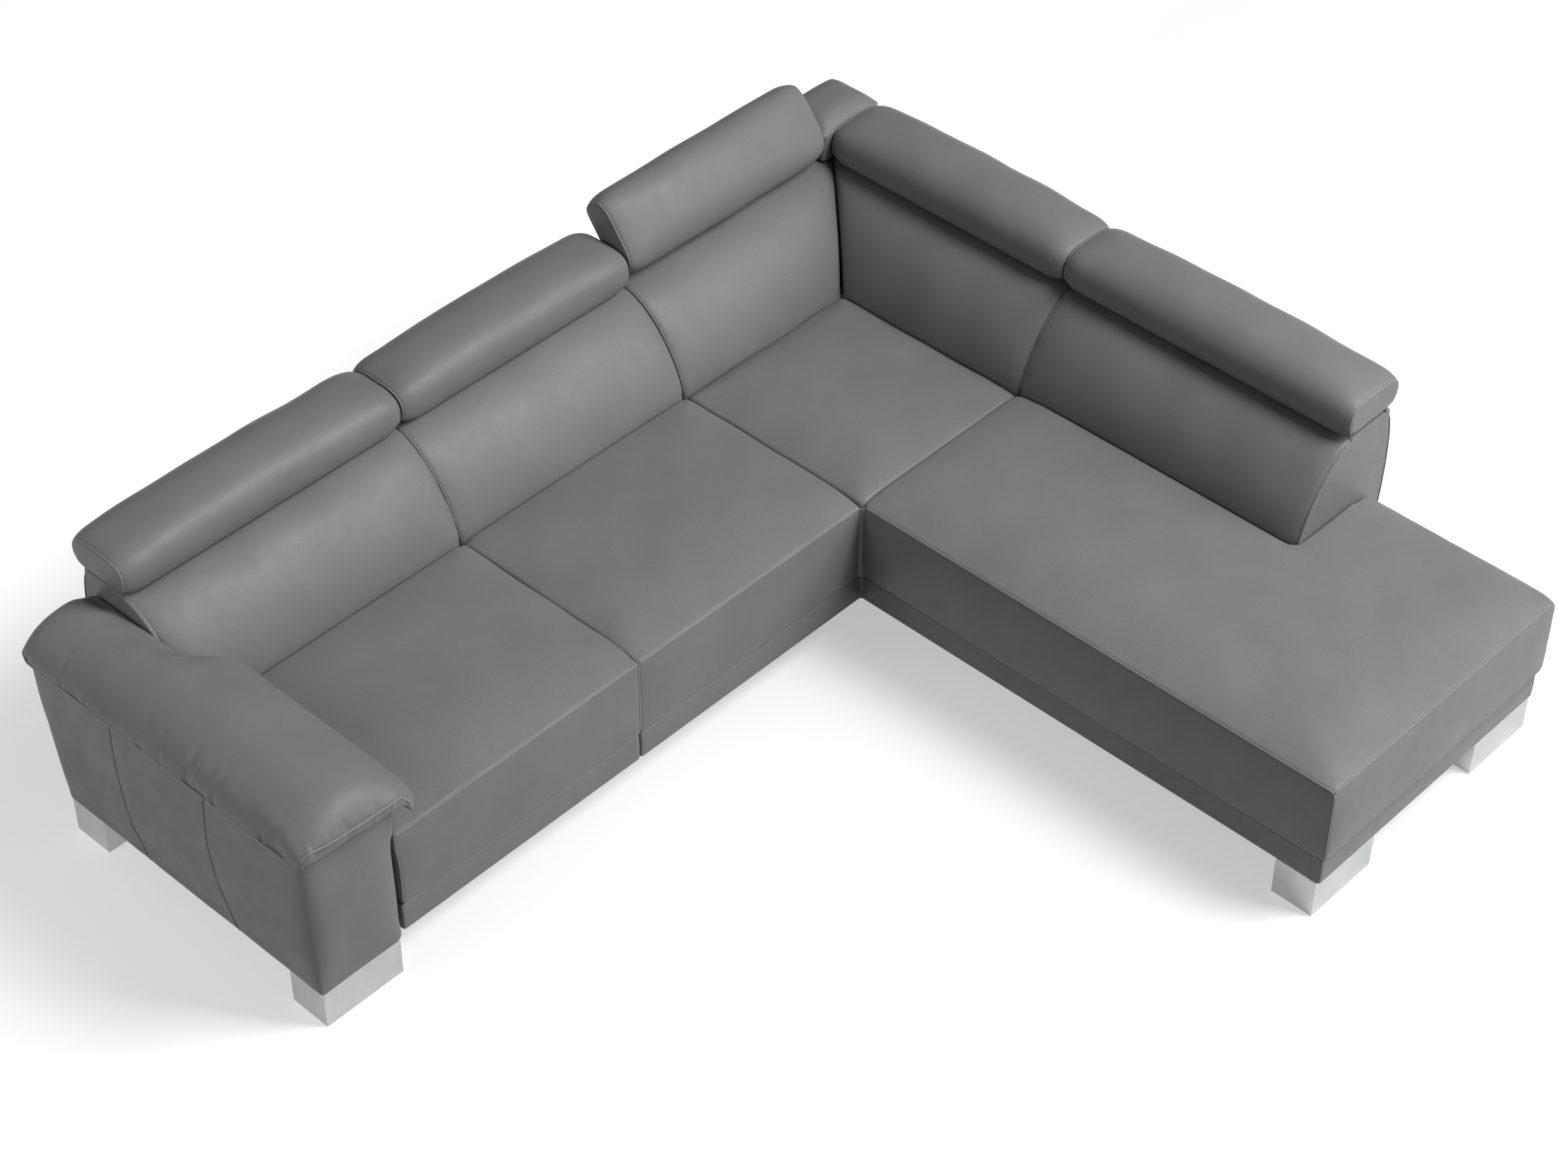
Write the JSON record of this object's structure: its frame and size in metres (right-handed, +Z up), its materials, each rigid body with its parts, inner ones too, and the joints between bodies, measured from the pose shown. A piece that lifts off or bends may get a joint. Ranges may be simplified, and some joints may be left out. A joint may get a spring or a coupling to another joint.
{
  "type": "corner sofa with chaise",
  "caption": "Leather corner sofa: armrest with soft pillow, cushioned seats, a deep chaise, sloping backs and ratchet headrests that turn up, on chromed block feet",
  "frame": {"origin": "on the floor, under the middle of the plan's bounding box", "axes": "+X runs from the armrest to the back of the chaise wing, +Y from the chaise's free end to the back of the left wing, +Z up; all five headrests stand as in the picture, four folded flat and the third from the left raised"},
  "size_m": [2.8025, 2.4297, 0.8959],
  "materials": {
    "leather": "semi-matte smooth",
    "frame_wood": "raw",
    "rail_wood": "black stain",
    "foot_chrome": "polished",
    "leg_plastic": "matte",
    "fitting_steel": "satin black",
    "spring_steel": "bright drawn"
  },
  "bodies": {
    "sofa": {"seat_cushion_left": "leather", "seat_cushion_centre": "leather", "seat_cushion_corner": "leather", "seat_cushion_chaise": "leather", "back_cushion_left": "leather", "back_cushion_centre": "leather", "back_cushion_corner": "leather", "back_cushion_side": "leather", "back_cushion_chaise": "leather", "rear_cover_left": "leather", "rear_cover_corner": "leather", "rear_cover_chaise": "leather", "back_frame_left": "frame_wood", "back_frame_corner": "frame_wood", "back_frame_chaise": "frame_wood", "front_rail_left": "rail_wood", "end_rail_left": "rail_wood", "front_rail_chaise": "rail_wood", "left_rail_chaise": "rail_wood", "right_rail_chaise": "rail_wood", "base_panel_left": "leather", "base_panel_centre": "leather", "base_panel_front": "leather", "base_panel_side": "leather", "base_panel_right": "leather", "foot_arm_front": "foot_chrome", "foot_arm_rear": "foot_chrome", "foot_chaise_left": "foot_chrome", "foot_chaise_right": "foot_chrome", "foot_rear_corner": "foot_chrome", "support_leg_front": "leg_plastic", "support_leg_rear": "leg_plastic", "module_connector": "fitting_steel", "spring_unit_left": "spring_steel", "spring_unit_centre": "spring_steel", "spring_unit_corner": "spring_steel", "spring_unit_chaise": "spring_steel", "arm_body": "leather", "arm_pillow": "leather", "corner_pad": "leather", "headrest_1_bracket": "fitting_steel", "headrest_1_pivot_rod": "spring_steel", "headrest_2_bracket": "fitting_steel", "headrest_2_pivot_rod": "spring_steel", "headrest_3_bracket": "fitting_steel", "headrest_3_pivot_rod": "spring_steel", "headrest_4_bracket": "fitting_steel", "headrest_4_pivot_rod": "spring_steel", "headrest_5_bracket": "fitting_steel", "headrest_5_pivot_rod": "spring_steel"},
    "headrest_1": {"headrest_1_pad": "leather", "headrest_1_carrier": "fitting_steel"},
    "headrest_2": {"headrest_2_pad": "leather", "headrest_2_carrier": "fitting_steel"},
    "headrest_3": {"headrest_3_pad": "leather", "headrest_3_carrier": "fitting_steel"},
    "headrest_4": {"headrest_4_pad": "leather", "headrest_4_carrier": "fitting_steel"},
    "headrest_5": {"headrest_5_pad": "leather", "headrest_5_carrier": "fitting_steel"}
  },
  "joints": [
    {"name": "headrest_1_turn", "type": "hinge", "parent": "sofa", "child": "headrest_1", "pos_m": [-0.7585, 1.055, 0.749], "axis": [1, 0, 0], "range_deg": [0, 70]},
    {"name": "headrest_2_turn", "type": "hinge", "parent": "sofa", "child": "headrest_2", "pos_m": [0.0535, 1.055, 0.749], "axis": [1, 0, 0], "range_deg": [0, 70]},
    {"name": "headrest_3_turn", "type": "hinge", "parent": "sofa", "child": "headrest_3", "pos_m": [0.789, 1.055, 0.749], "axis": [1, 0, 0], "range_deg": [-53.5, 16.5]},
    {"name": "headrest_4_turn", "type": "hinge", "parent": "sofa", "child": "headrest_4", "pos_m": [1.2285, 0.6325, 0.749], "axis": [0, -1, 0], "range_deg": [0, 70]},
    {"name": "headrest_5_turn", "type": "hinge", "parent": "sofa", "child": "headrest_5", "pos_m": [1.2285, -0.2115, 0.749], "axis": [0, -1, 0], "range_deg": [0, 70]}
  ]
}
